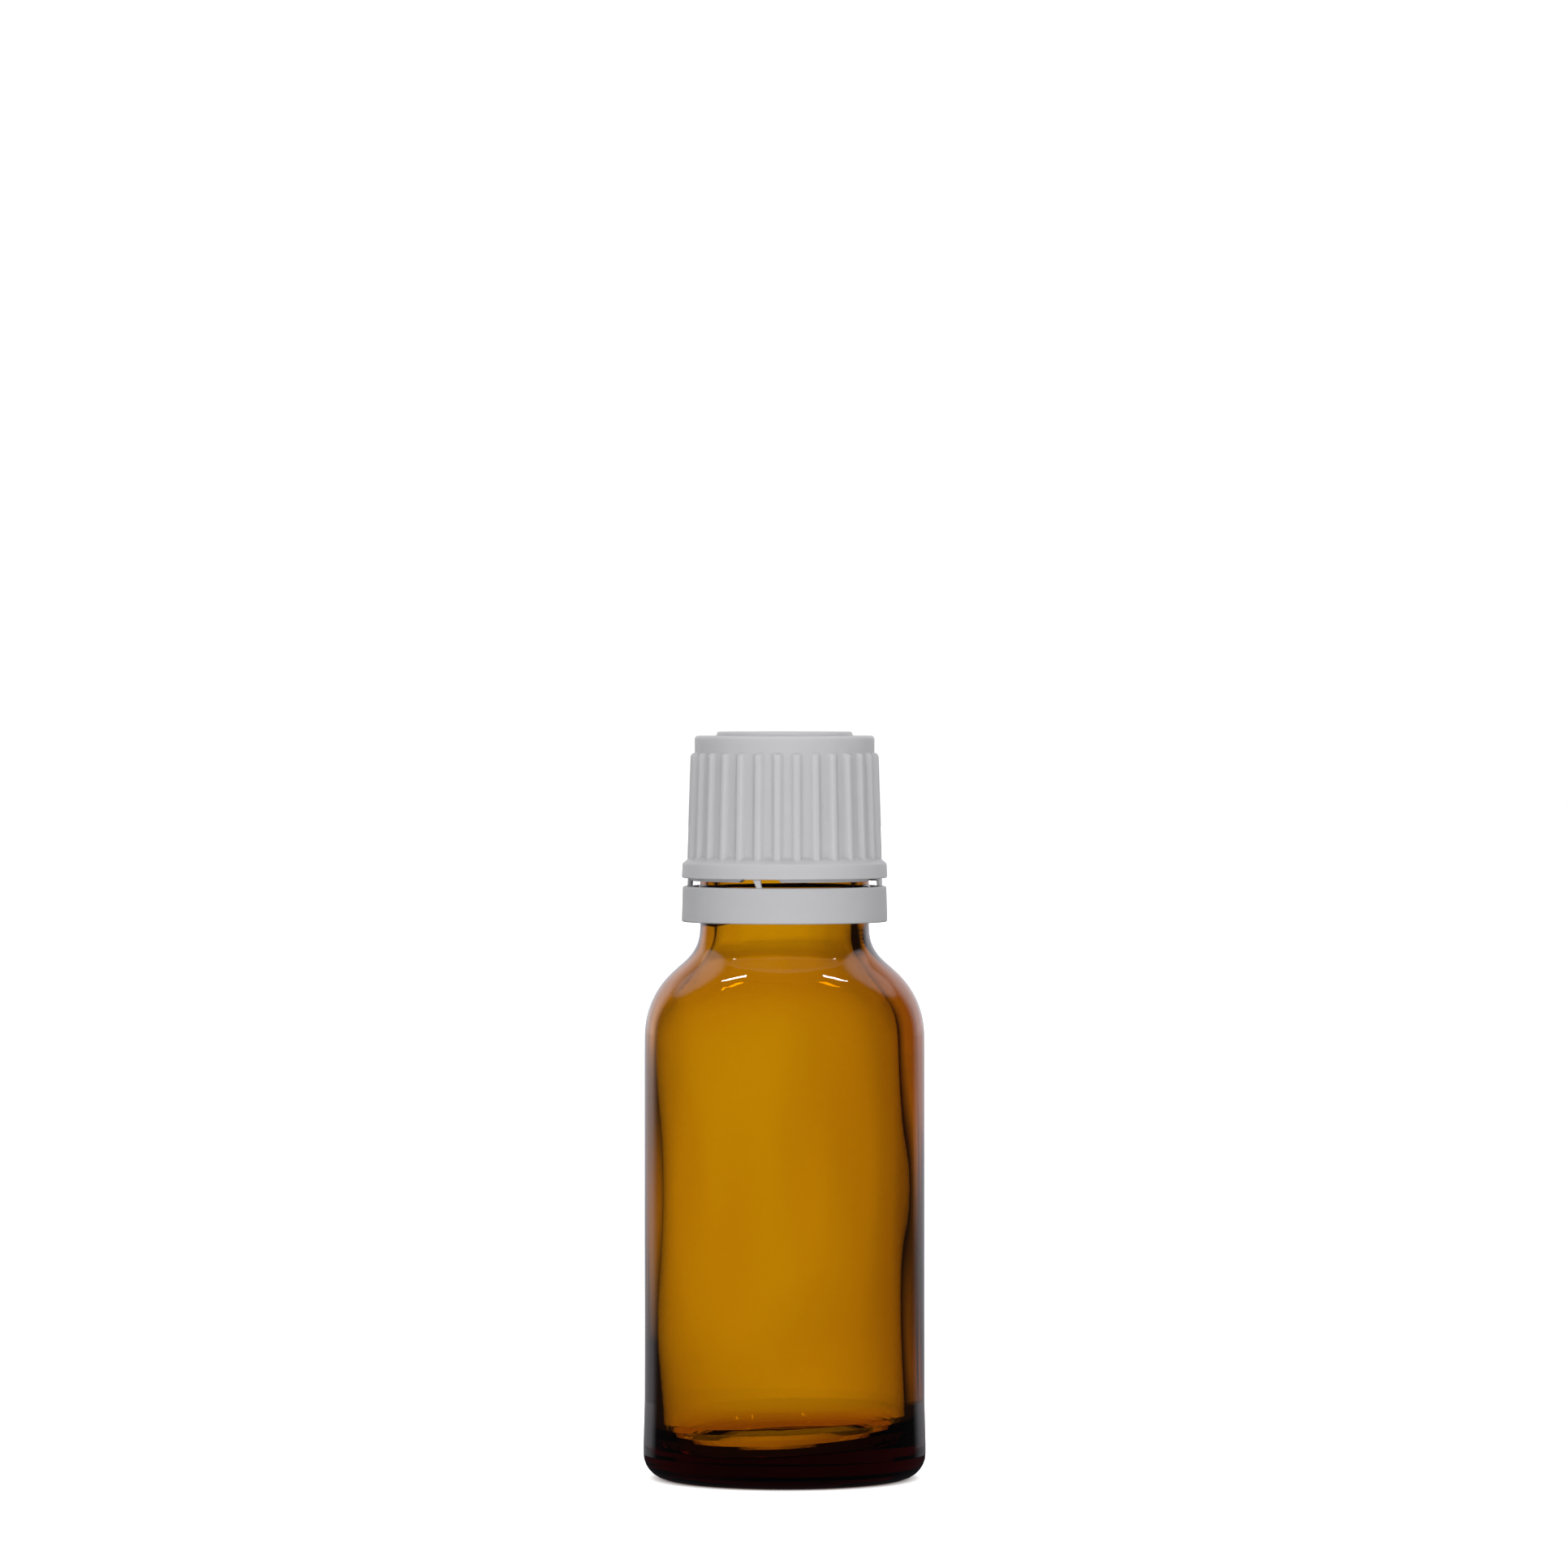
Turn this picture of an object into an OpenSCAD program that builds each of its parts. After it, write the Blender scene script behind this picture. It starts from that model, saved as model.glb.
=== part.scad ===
// Amber glass dropper vial with a tamper-evident screw cap.
// +Z is up, the origin is the centre of the foot, and -Y is the front.

/* [Bottle] */
// Height of the glass from its foot to its rim
bottle_h = 71.5; // [64:0.5:95]
// Outside diameter of the body
body_d = 28.7; // [23.9:0.1:36]
// Thickness of the body and shoulder walls
glass_wall = 1.9; // [1.4:0.1:2.4]
// Height of the inside floor above the foot
floor_h = 4; // [3:0.1:6]
// Outside radius of the heel
heel_r = 2.5; // [1.5:0.1:4]
// Radius between the inside floor and the wall
inner_heel_r = 4; // [1:0.1:6]
// How far the heel swells past the body, on radius
heel_swell = 0.12; // [0:0.02:0.2]
// Height at which the swell of the heel has faded out
swell_h = 8; // [6:0.5:12]
// Depth of the push-up under the foot
punt_h = 1.2; // [0.6:0.1:1.8]
// Width of the flat ring that the bottle stands on
foot_w = 1.4; // [0.8:0.1:3]
// Slope of the shoulder, measured from the vertical
shoulder_a = 50; // [40:1:60]
// Radius where the shoulder turns into the body
shoulder_r = 8.6; // [3:0.1:9]
// Radius where the neck turns into the shoulder
neck_fillet_r = 3.9; // [2:0.1:5]

/* [Neck finish] */
// Outside diameter of the plain neck
neck_d = 17.3; // [15.6:0.1:20.8]
// Bore of the mouth
mouth_d = 11.6; // [9.6:0.1:13.8]
// Height of the neck finish, from the rim to the neck's root
finish_h = 15.4; // [15:0.1:20]
// Pitch of the screw thread
pitch = 3; // [2.8:0.05:3.4]
// Depth of the straight bore below the rim
mouth_depth = 9.2; // [7:0.1:12]
// Thickness of the neck wall below the mouth
neck_wall = 1.6; // [1.2:0.1:2.4]
// Turns of thread on the glass
thread_turns = 1.4; // [1:0.05:1.5]
// Depth of the thread ridge
thread_depth = 0.7; // [0.5:0.05:0.9]
// Width of the glass thread ridge at its root
glass_ridge_w = 1.7; // [1.2:0.05:1.8]
// How far the neck's collar stands out past the thread root
collar_step = 0.7; // [0.4:0.05:0.9]
// How far the locking bead stands out past the neck
bead_step = 0.6; // [0.4:0.05:0.8]
// Height of the locking bead
bead_h = 1.3; // [0.8:0.1:1.5]

/* [Dropper insert] */
// Depth of the plug below the rim
plug_depth = 8; // [6:0.1:10]
// Wall thickness of the plug and the spout
insert_wall = 0.8; // [0.6:0.05:1]
// Thickness of the flange that rests on the rim
flange_t = 0.8; // [0.5:0.05:1.2]
// Height of the spout above the flange
spout_h = 1.7; // [1.2:0.1:3.2]
// Outside diameter at the top of the spout
spout_d = 6; // [5:0.1:7]
// Diameter of the drip bore
drip_d = 0.9; // [0.6:0.05:1.2]
// Diameter of the air vent
vent_d = 0.5; // [0.3:0.05:0.6]
// Height of each sealing bead on the plug
seal_h = 0.8; // [0.5:0.1:1.2]

/* [Screw cap] */
// Thickness of the skirt wall at its foot, between the ribs
cap_wall = 0.8; // [0.6:0.05:1.2]
// Draft of the skirt wall, on radius, from its foot to its top
cap_draft = 0.34; // [0.2:0.02:0.4]
// Thickness of the top plate
top_t = 1.15; // [0.8:0.05:1.6]
// Height of the smooth tier above the ribs
tier_h = 1.75; // [1:0.05:2.5]
// Height of the raised disc on the top
disc_h = 0.42; // [0.2:0.02:0.8]
// Diameter of the raised disc
disc_d = 14; // [10:0.1:15.5]
// Number of grip ribs
rib_n = 30; // [20:1:36]
// Width of each rib
rib_w = 0.72; // [0.4:0.02:1]
// How far each rib stands out of the wall
rib_step = 0.42; // [0.2:0.02:0.6]
// Width of the cap's flange past the skirt wall, on radius
cap_flange_w = 1; // [0.8:0.05:1.5]
// Height of the straight side of the flange
cap_flange_h = 1.5; // [1:0.05:2]
// Height of the slope from the flange up to the skirt
cap_slope_h = 0.7; // [0.4:0.05:1]

/* [Cap liner] */
// Thickness of the liner disc
liner_t = 0.8; // [0.5:0.05:1.2]
// How far the rim that holds the liner stands out of the cap's bore
liner_grip = 0.3; // [0.15:0.05:0.4]

/* [Tamper-evident ring] */
// Height of the ring
ring_h = 3.65; // [3:0.05:3.8]
// Height of the slot between the cap and the ring
slot_h = 0.85; // [0.5:0.05:1.2]
// Number of catches inside the ring
catch_n = 8; // [4:1:10]
// Angle that each catch covers
catch_a = 32; // [20:1:34]
// Number of bridges between the ring and the cap
bridge_n = 4; // [3:1:8]
// Angle of the first bridge, from the front towards +X
bridge_first_a = -15.5; // [-45:0.5:45]
// Width of a bridge at its top
bridge_top_w = 0.85; // [0.6:0.05:1.2]
// Width of a bridge at its foot
bridge_foot_w = 0.6; // [0.4:0.05:1]
// Sideways lean of a bridge
bridge_lean = 0.24; // [0:0.02:0.5]
// Thickness of a bridge, on radius
bridge_t = 0.5; // [0.4:0.05:0.7]
// Angle of the window in the cap's inner lip at each bridge
window_a = 25; // [16:1:30]

/* [Fits] */
// Radial clearance between the two threads
thread_gap = 0.1; // [0.08:0.01:0.2]
// Axial clearance between the thread flanks
flank_gap = 0.12; // [0.08:0.01:0.2]
// Clearance between the ring and the locking bead
bead_gap = 0.25; // [0.15:0.05:0.4]
// Clearance between the ring's catches and the neck
catch_gap = 0.2; // [0.1:0.05:0.3]
// Play between the catches and the bead above them
catch_play = 0.2; // [0.1:0.05:0.4]
// Clearance between the plug and the mouth
plug_gap = 0.1; // [0.05:0.01:0.15]
// Interference of the sealing beads in the mouth
seal_bite = 0.05; // [0.02:0.01:0.1]
// Clearance around the liner
liner_gap = 0.05; // [0.03:0.01:0.1]
// Gap between the ring's bridges and the cap
bridge_gap = 0.03; // [0.02:0.01:0.1]

/* [Hidden] */
$fn = 96;

// Distance at which the two thread ridges meet at mid depth, as a share of their summed half widths
mesh_share = 0.78;
// Angle between two sections of a thread ridge
section_a = 10;

// Bottle
body_r = body_d / 2;
neck_r = neck_d / 2;
mouth_r = mouth_d / 2;
throat_r = neck_r - neck_wall;
rim_z = bottle_h;
heel_x = body_r + heel_swell;
foot_x = heel_x - heel_r;
punt_x = foot_x - foot_w;
neck_root_z = rim_z - finish_h;
half_a = shoulder_a / 2;
// Corner of the neck line and the slope, then of the slope and the body line
neck_corner_z = neck_root_z - neck_fillet_r * tan(half_a);
body_corner_z = neck_corner_z - (body_r - neck_r) / tan(shoulder_a);
slope_l = (body_r - neck_r) / sin(shoulder_a);
shoulder_round = min(shoulder_r, 0.97 * slope_l / tan(half_a) - neck_fillet_r);
// Inside of the shoulder, one wall in from the outside
cavity_r = body_r - glass_wall;
cavity_corner_z = body_corner_z - glass_wall * tan(half_a);
throat_z = cavity_corner_z + (cavity_r - throat_r) / tan(shoulder_a);
throat_round = neck_fillet_r + neck_wall;
cavity_slope_l = (cavity_r - throat_r) / sin(shoulder_a);
cavity_room = 0.97 * cavity_slope_l / tan(half_a) - throat_round;
cavity_round = max(0.5, min(shoulder_round - glass_wall, cavity_room));
mouth_foot_z = rim_z - mouth_depth;

// Neck finish
collar_z = rim_z - 8.3;
root_r = neck_r - collar_step;
crest_r = root_r + thread_depth;
bead_r = neck_r + bead_step;
thread_z = rim_z - 6.3;

// Cap, ring and slot, from the bottom up
bead_z = rim_z - 12.5;
ring_z = bead_z - 2;
slot_z = ring_z + ring_h;
cap_z = slot_z + slot_h;
lip_drop = min(0.3, slot_h / 2);
cap_bore_r = crest_r + thread_gap;
skirt_r = cap_bore_r + cap_wall;
tier_r = skirt_r - cap_draft;
lip_r = skirt_r - 0.1;
cap_flange_r = skirt_r + cap_flange_w;
skirt_z = cap_z + cap_flange_h + cap_slope_h;
flange_top_z = rim_z + flange_t;
spout_top_z = flange_top_z + spout_h;
liner_z = spout_top_z + liner_gap;
roof_z = liner_z + liner_t + liner_gap;
cap_top_z = roof_z + top_t;
tier_z = cap_top_z - tier_h;
liner_bore_r = root_r + 2 * thread_gap;
liner_bore_z = rim_z - 0.5;
liner_r = liner_bore_r - liner_gap;

// Cap thread: its ridge rides below the ridge on the glass
cap_ridge_w = pitch - glass_ridge_w;
cap_ridge_drop = mesh_share * (glass_ridge_w + cap_ridge_w) / 2 + flank_gap - 0.04;
cap_thread_start_a = 120;
cap_thread_z = thread_z - cap_ridge_drop + pitch * cap_thread_start_a / 360;

// Insert
plug_r = mouth_r - plug_gap;
plug_z = rim_z - plug_depth;
seal_r = mouth_r + seal_bite;
insert_flange_r = root_r - 0.4;
spout_top_r = spout_d / 2;
spout_foot_r = spout_top_r + 0.5;
drip_r = drip_d / 2;
drip_tube_r = drip_r + insert_wall + 0.25;
cup_r = spout_top_r - insert_wall;
cup_z = spout_top_z - 1.2;
web_z = rim_z - 0.4;
vent_x = (drip_tube_r + spout_foot_r) / 2;

// Ring
ring_top_r = cap_flange_r - 0.1;
ring_bore_r = bead_r + bead_gap;
catch_r = neck_r + catch_gap;
catch_top_z = bead_z - catch_play;
bridge_out_r = cap_flange_r - 0.25;
bridge_in_r = bridge_out_r - bridge_t;
bridge_top_z = cap_z - bridge_gap;

// ---- Outlines: each corner is [x, z, radius] ----

// Angle of bridge i, from the front towards +X
function bridge_angle(i) = bridge_first_a + (i - 1) * 360 / bridge_n;

// An angle brought to between -180 and 180
function half_turn(a) = a > 180 ? a - 360 : a < -180 ? a + 360 : a;

// The points of corner b between its neighbours a and c, rounded to its radius
function corner(a, b, c, steps) =
    b[2] <= 0 ? [[b.x, b.y]] :
    let (
        here = [b.x, b.y],
        u = ([a.x, a.y] - here) / norm([a.x, a.y] - here),
        v = ([c.x, c.y] - here) / norm([c.x, c.y] - here),
        half = acos(u * v) / 2,
        centre = here + (u + v) / norm(u + v) * b[2] / sin(half),
        start = here + u * b[2] / tan(half) - centre,
        end = here + v * b[2] / tan(half) - centre,
        from = atan2(start.y, start.x),
        sweep = half_turn(atan2(end.y, end.x) - from)
    )
    [
        for (i = [0 : steps])
            let (a = from + sweep * i / steps)
            centre + b[2] * [cos(a), sin(a)]
    ];

// An outline with all its corners rounded
function outline(p, steps = 6) = [
    for (i = [0 : len(p) - 1])
        each corner(p[(i + len(p) - 1) % len(p)], p[i], p[(i + 1) % len(p)], steps)
];

// The push-up under the foot, from its centre out to the foot ring
function punt() = [for (i = [0 : 8]) let (s = i / 8) [punt_x * s, punt_h * (1 - s * s), 0]];

// ---- Screw thread ----

// Share of full height at angle a along a ridge that runs for run degrees
function fade(a, run) = max(0.04, min(1, a / 30, (run - a) / 30));

// One cross-section of a ridge: a smooth hump that stands from root_x towards crest_x. Its foot is
// sunk in the wall, deeper than a straight facet between two sections cuts across the round bore.
function ridge_section(root_x, crest_x, width, share) =
    let (
        way = sign(crest_x - root_x),
        steps = 6,
        sink = root_x * (1 - cos(section_a / 2)) + 0.01
    )
    [
        [root_x - way * (sink + 0.1), -width / 2],
        for (k = [0 : steps])
            let (s = -1 + 2 * k / steps)
            [root_x + (crest_x - root_x) * share * (1 - pow(abs(s), 3)) - way * sink, s * width / 2],
        [root_x - way * (sink + 0.1), width / 2],
    ];

// A right-handed ridge that climbs one pitch a turn
module thread_ridge(root_x, crest_x, width, turns, z, start_a) {
    run = turns * 360;
    rings = ceil(run / section_a);
    sections = [for (i = [0 : rings]) ridge_section(root_x, crest_x, width, fade(run * i / rings, run))];
    m = len(sections[0]);
    points = [
        for (i = [0 : rings])
            let (a = run * i / rings)
            for (p = sections[i])
                [p.x * cos(start_a + a), p.x * sin(start_a + a), z + p.y + pitch * a / 360]
    ];
    quads = [
        for (i = [0 : rings - 1])
            for (k = [0 : m - 1])
                let (n = (k + 1) % m)
                [i * m + k, i * m + n, (i + 1) * m + n, (i + 1) * m + k]
    ];
    sides = [for (q = quads) each [[q[0], q[1], q[2]], [q[0], q[2], q[3]]]];
    first_end = [for (k = [1 : m - 2]) [0, k + 1, k]];
    last_end = [for (k = [1 : m - 2]) [rings * m, rings * m + k, rings * m + k + 1]];
    flip = crest_x > root_x;
    faces = concat(sides, first_end, last_end);
    polyhedron(points = points, faces = flip ? faces : [for (f = faces) [f[2], f[1], f[0]]], convexity = 4);
}

// ---- Sub-parts ----

// The blown bottle: push-up foot, body, shoulder, neck with its locking bead, thread and rim
module glass_bottle() {
    color("darkgoldenrod") union() {
        rotate_extrude() polygon(outline(concat(
            punt(),
            [
                [heel_x, 0, heel_r],
                [heel_x, heel_r + 1, 0],
                [body_r, swell_h, 0],
                [body_r, body_corner_z, shoulder_round],
                [neck_r, neck_corner_z, neck_fillet_r],
                [neck_r, bead_z - 0.3, 0.15],
                [bead_r, bead_z, 0.3],
                [bead_r, bead_z + bead_h, 0.45],
                [neck_r, bead_z + bead_h + 0.35, 0.2],
                [neck_r, collar_z, 0.2],
                [root_r, collar_z + 0.5, 0.2],
                [root_r, rim_z, 0.7],
                [mouth_r, rim_z, 0.4],
                [mouth_r, mouth_foot_z, 1.5],
                [throat_r, mouth_foot_z - 1.5 * (throat_r - mouth_r), 1.5],
                [throat_r, throat_z, throat_round],
                [cavity_r, cavity_corner_z, cavity_round],
                [cavity_r, floor_h, inner_heel_r],
                [0, floor_h + 0.3, 0]
            ]
        ), 8));
        thread_ridge(root_r, crest_r, glass_ridge_w, thread_turns, thread_z, 0);
    }
}

// The dropper plug: flange, spout with a drip cup, plug with two sealing beads, drip tube and vent
module dropper_insert() {
    seal_1_z = rim_z - 0.22 * plug_depth;
    seal_2_z = rim_z - 0.55 * plug_depth;
    color("white") difference() {
        rotate_extrude() polygon(outline([
            [drip_r, cup_z, 0],
            [cup_r, cup_z + 0.3, 0.25],
            [cup_r + 0.25, spout_top_z - 0.15, 0],
            [spout_top_r, spout_top_z, 0.15],
            [spout_foot_r, flange_top_z, 0.2],
            [insert_flange_r, flange_top_z, 0.2],
            [insert_flange_r, rim_z, 0],
            [plug_r, rim_z, 0],
            [plug_r, seal_1_z + seal_h / 2, 0],
            [seal_r, seal_1_z, 0.1],
            [plug_r, seal_1_z - seal_h / 2, 0],
            [plug_r, seal_2_z + seal_h / 2, 0],
            [seal_r, seal_2_z, 0.1],
            [plug_r, seal_2_z - seal_h / 2, 0],
            [plug_r, plug_z + 1, 0],
            [plug_r - 0.4, plug_z, 0.15],
            [plug_r - insert_wall, plug_z, 0],
            [plug_r - insert_wall, web_z - 0.6, 0.3],
            [drip_tube_r, web_z - 0.6, 0.2],
            [drip_tube_r - 0.2, plug_z + 1.5, 0.1],
            [drip_r, plug_z + 1.5, 0]
        ], 4));
        translate([vent_x, 0, web_z - 1]) cylinder(d = vent_d, h = flange_t + spout_h + 2);
    }
}

// The cap: ribbed skirt on a flange, smooth tier, raised disc, thread, and the rim that holds the liner
module screw_cap() {
    rib_a = 2 * asin(rib_w / 2 / skirt_r);
    color("white") difference() {
        union() {
            rotate_extrude() polygon(outline([
                [cap_bore_r, cap_z - lip_drop, 0],
                [lip_r, cap_z - lip_drop, 0.1],
                [lip_r, cap_z, 0],
                [cap_flange_r, cap_z, 0.15],
                [cap_flange_r - 0.07, cap_z + cap_flange_h, 0.3],
                [skirt_r, skirt_z, 0],
                [tier_r, tier_z, 0],
                [tier_r, cap_top_z, 0.35],
                [disc_d / 2, cap_top_z, 0.1],
                [disc_d / 2 - 0.15, cap_top_z + disc_h, 0.2],
                [1.6, cap_top_z + disc_h, 0.1],
                [1.4, cap_top_z + disc_h - 0.25, 0.1],
                [0, cap_top_z + disc_h - 0.25, 0],
                [0, roof_z, 0],
                [liner_bore_r, roof_z, 0.1],
                [liner_bore_r, liner_z - 0.1, 0],
                [liner_bore_r - liner_grip, liner_z - 0.4, 0.1],
                [liner_bore_r, liner_z - 0.7, 0],
                [liner_bore_r, liner_bore_z, 0],
                [cap_bore_r, liner_bore_z - 0.6, 0]
            ], 4));
            for (i = [0 : rib_n - 1])
                rotate([0, 0, -94.5 + i * 360 / rib_n - rib_a / 2])
                    rotate_extrude(angle = rib_a) polygon([
                        [tier_r - 0.2, skirt_z - 0.3],
                        [skirt_r + rib_step, skirt_z - 0.3],
                        [tier_r + rib_step + 0.04, tier_z - 0.3],
                        [tier_r + rib_step - 0.2, tier_z],
                        [tier_r - 0.2, tier_z]
                    ]);
            thread_ridge(
                cap_bore_r, cap_bore_r - thread_depth, cap_ridge_w,
                thread_turns, cap_thread_z, cap_thread_start_a
            );
        }
        for (i = [1 : bridge_n])
            rotate([0, 0, bridge_angle(i) - 90 - window_a / 2])
                rotate_extrude(angle = window_a)
                    translate([cap_bore_r - 1, cap_z - lip_drop - 1])
                        square([lip_r - cap_bore_r + 1.05, lip_drop + 1]);
    }
}

// The foamed disc in the roof of the cap that seals on the spout
module cap_liner() {
    color("whitesmoke") translate([0, 0, liner_z]) cylinder(r = liner_r, h = liner_t);
}

// The ring that stays on the neck, with catches that hold under the bead
module tamper_ring() {
    color("white") union() {
        rotate_extrude() polygon(outline([
            [ring_bore_r, ring_z, 0.1],
            [cap_flange_r, ring_z, 0.2],
            [ring_top_r, slot_z, 0.2],
            [ring_bore_r, slot_z, 0.1]
        ], 4));
        for (i = [0 : catch_n - 1])
            rotate([0, 0, i * 360 / catch_n])
                rotate_extrude(angle = catch_a) polygon([
                    [ring_bore_r + 0.2, ring_z + 0.2],
                    [ring_bore_r, ring_z + 0.2],
                    [catch_r, ring_z + 1.2],
                    [catch_r, catch_top_z],
                    [ring_bore_r + 0.2, catch_top_z]
                ]);
    }
}

// One thin leaning web between the ring and the cap, which breaks when the cap is first turned
module bridge(i) {
    lean = bridge_lean / 2;
    color("white") rotate([0, 0, bridge_angle(i)]) intersection() {
        difference() {
            cylinder(r = bridge_out_r, h = cap_top_z);
            cylinder(r = bridge_in_r, h = cap_top_z);
        }
        rotate([90, 0, 0]) linear_extrude(height = cap_flange_r) polygon([
            [lean - bridge_foot_w / 2, slot_z],
            [lean + bridge_foot_w / 2, slot_z],
            [-lean + bridge_top_w / 2, bridge_top_z],
            [-lean - bridge_top_w / 2, bridge_top_z]
        ]);
    }
}

glass_bottle();
dropper_insert();
screw_cap();
cap_liner();
tamper_ring();
for (i = [1 : bridge_n]) bridge(i);
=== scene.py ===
# %% [markdown]
# # An amber dropper vial, dressed for its portrait
#
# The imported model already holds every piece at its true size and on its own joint. This notebook
# gives the pieces their looks. The glass, the cap and the tamper-evident ring are turned again as
# finer meshes, because glass shows every facet of a coarse one, and the four webs are lofted again
# with rounded edges. The insert and the liner keep their meshes and get materials.
# All lengths in the cells are millimetres, and MM turns them to Blender's metres.

# %% Load the frame
import math

import bmesh
import bpy
import numpy as np
from mathutils import Matrix, Vector


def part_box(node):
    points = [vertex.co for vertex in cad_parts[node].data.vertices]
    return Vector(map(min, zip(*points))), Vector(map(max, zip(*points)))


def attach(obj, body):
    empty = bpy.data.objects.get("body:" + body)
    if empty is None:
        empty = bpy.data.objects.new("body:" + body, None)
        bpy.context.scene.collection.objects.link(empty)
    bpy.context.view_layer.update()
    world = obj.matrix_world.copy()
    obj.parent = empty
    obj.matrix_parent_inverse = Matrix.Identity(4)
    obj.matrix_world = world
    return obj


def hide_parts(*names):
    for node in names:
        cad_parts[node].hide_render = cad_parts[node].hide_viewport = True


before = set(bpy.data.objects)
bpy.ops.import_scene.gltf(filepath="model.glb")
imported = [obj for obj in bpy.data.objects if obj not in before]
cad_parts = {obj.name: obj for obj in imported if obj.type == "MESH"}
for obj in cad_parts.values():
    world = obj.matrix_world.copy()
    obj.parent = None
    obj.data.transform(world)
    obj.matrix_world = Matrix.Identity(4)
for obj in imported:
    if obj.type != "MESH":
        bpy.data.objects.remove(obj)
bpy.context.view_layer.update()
MM = 0.001


def in_mm(node):
    """The lowest and highest corners of a CAD node, in millimetres."""
    low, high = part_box(node)
    return low / MM, high / MM


glass_high = in_mm("glass_bottle")[1]
cap_low, cap_high = in_mm("screw_cap")
ring_low, ring_high = in_mm("tamper_ring")
liner_low, liner_high = in_mm("cap_liner")
insert_high = in_mm("dropper_insert")[1]
print("glass", [round(v, 2) for v in glass_high], "cap", [round(v, 2) for v in cap_high])

# %% [markdown]
# ## Camera and light
#
# A long lens far away keeps the vial's sides parallel, as in a catalogue picture. The lens is a
# little higher than the cap's top, so the foot is seen a few degrees from above.

# %% Camera
CAMERA_DISTANCE = 795
CAMERA_SIDE = -0.06
CAMERA_HEIGHT = 80
AIM_HEIGHT = 71.1
SENSOR = 36
FOCAL = 178.2

camera_data = bpy.data.cameras.new("camera")
camera_data.sensor_width = SENSOR
camera_data.lens = FOCAL
camera = bpy.data.objects.new("camera", camera_data)
bpy.context.scene.collection.objects.link(camera)
camera.location = Vector((CAMERA_SIDE, -CAMERA_DISTANCE, CAMERA_HEIGHT)) * MM
aim = Vector((CAMERA_SIDE, 0, AIM_HEIGHT)) * MM
camera.rotation_euler = (aim - camera.location).to_track_quat("-Z", "Y").to_euler()
bpy.context.scene.camera = camera
looks_down = math.degrees(math.atan2(CAMERA_HEIGHT - AIM_HEIGHT, CAMERA_DISTANCE))
print("camera looks down by", round(looks_down, 2))

# %% [markdown]
# Glass has no look of its own: it shows the room, bent. A bottle is usually lit against a bright
# backdrop in a dark room, so that light comes through it while little is mirrored in its front.
# The world does the same here, with one world shader that asks each ray how it got there:
#
# - What is seen directly is the white backdrop.
# - What is seen through the glass is the backdrop too, dimmer to the sides and lower down. Rays that
#   crossed solid glass only, on their way down through the foot, find nothing bright.
# - What has been mirrored even once, also inside the glass wall, sees a dark room with a white panel
#   at the back and two above. That draws the dark lines just inside a bottle's edges.
# - What lights the plastics is a soft fill, strongest from the front and the back.

# %% A node helper, and colours
def add_node(tree, kind, inputs=(), **settings):
    """Adds a shader node, sets its properties, and sets or links its inputs by name or number."""
    node = tree.nodes.new(kind)
    for name, value in settings.items():
        setattr(node, name, value)
    for name, value in dict(inputs).items():
        socket = node.inputs[name]
        if isinstance(value, bpy.types.NodeSocket):
            tree.links.new(value, socket)
        else:
            socket.default_value = value
    return node


def colour(text):
    """A linear RGBA colour from an sRGB hex value such as #C8A060."""
    parts = [int(text[i:i + 2], 16) / 255 for i in (1, 3, 5)]
    return [c / 12.92 if c <= 0.04045 else ((c + 0.055) / 1.055) ** 2.4 for c in parts] + [1.0]


# %% World
BACKDROP = 1.02
BEHIND_GLASS = 1.13
DARK_ROOM = 0.025
FILL_FROM_SIDES, FILL_FROM_FRONT = 0.18, 1.66

# Levels round the room as (degrees, level), with 0 straight behind the vial and 90 at its right.
SEEN_THROUGH = [
    (-180, 0.95), (-60, 0.88), (-26, 0.8), (-16, 0.88), (-7, 1.0), (1, 1.0),
    (6, 0.86), (10, 0.74), (25, 0.68), (70, 0.86), (180, 0.95),
]
IN_MIRRORS = [(-180, 0.0), (-50, 0.0), (-38, 1.0), (0, 1.0), (35, 0.9), (48, 0.0), (180, 0.0)]

# Heights in the room are the upright part of a ray's direction: -1 straight down, 1 straight up.
DIM_BELOW, DIMMEST_BELOW, DIMMEST_LEVEL = -0.082, -0.14, 0.78
HEADING_DOWN = -0.02
PANEL_FOOT, PANEL_WHOLE, PANEL_FADES, PANEL_TOP = -0.12, 0.0, 0.35, 0.6

# The two panels above lie this way from the vial, one at each side. The next two numbers are
# cosines of the angle from a panel's middle, where its edge starts and where it is at its full level.
TOP_PANELS = (0.58, 0.52, 0.63)
TOP_EDGE, TOP_WHOLE, TOP_LEVEL = 0.955, 0.988, 0.9

# A ray through the hollow vial crosses four surfaces, and one through the solid foot crosses two.
SURFACES_OF_A_WALL = 2.5
ONE_MIRRORING = 0.5


def around(tree, angle, stops):
    """A level that follows the angle round the room through (degrees, level) stops."""
    share = add_node(
        tree, "ShaderNodeMapRange", {0: angle, "From Min": -math.pi, "From Max": math.pi}
    ).outputs[0]
    ramp = add_node(tree, "ShaderNodeValToRGB", {0: share})
    for i, (degrees, level) in enumerate(stops):
        if i < 2:
            stop = ramp.color_ramp.elements[i]
            stop.position = (degrees + 180) / 360
        else:
            stop = ramp.color_ramp.elements.new((degrees + 180) / 360)
        stop.color = (level, level, level, 1)
    return ramp.outputs[0]


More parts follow.
